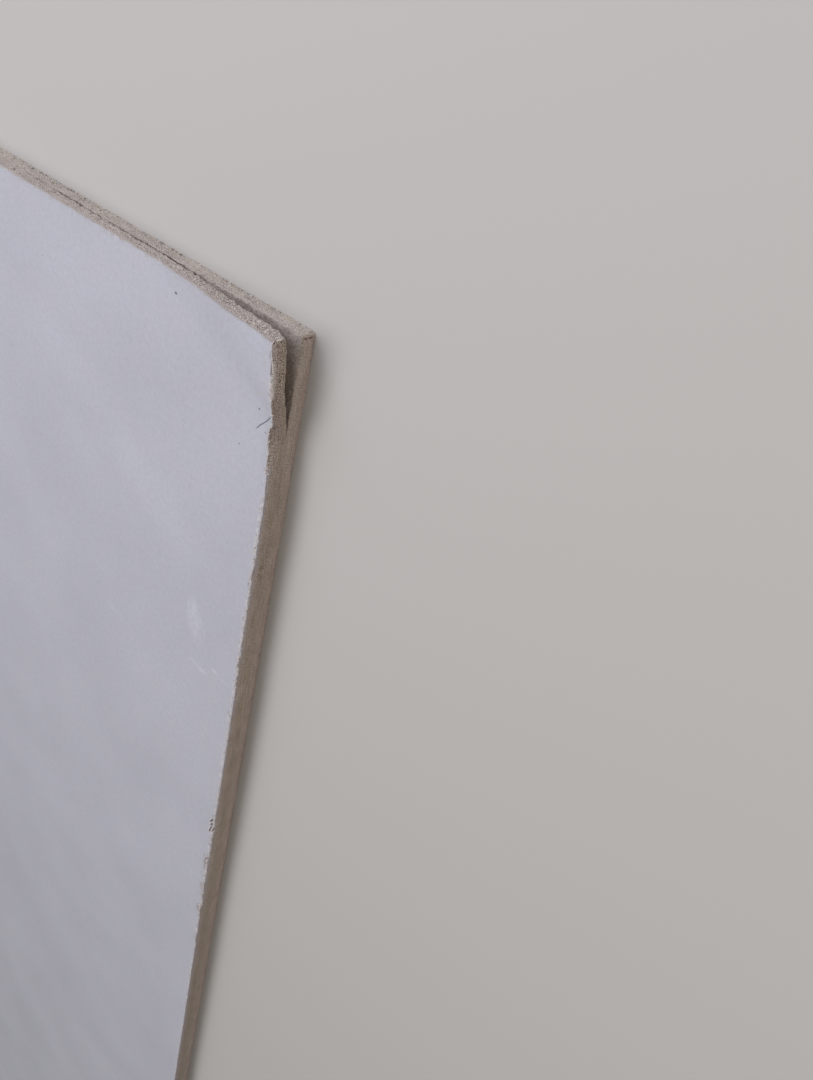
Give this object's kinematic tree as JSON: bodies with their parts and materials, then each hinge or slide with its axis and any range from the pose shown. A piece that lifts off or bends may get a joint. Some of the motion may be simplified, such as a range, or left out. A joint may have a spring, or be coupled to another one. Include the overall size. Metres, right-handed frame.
{
  "type": "fiber cement board",
  "caption": "Full flat sheet of smooth-faced fiber cement board with a ribbed back, split and curled at one corner.",
  "frame": {"origin": "middle of the back face, which lies on the floor", "axes": "+X along the long side, +Y along the short side, +Z out of the smooth face; the split corner is at +X, +Y"},
  "size_m": [2.44, 1.22, 0.0182],
  "materials": {
    "fiber_cement": "matte"
  },
  "bodies": {
    "root": {"board": "fiber_cement"}
  },
  "joints": []
}
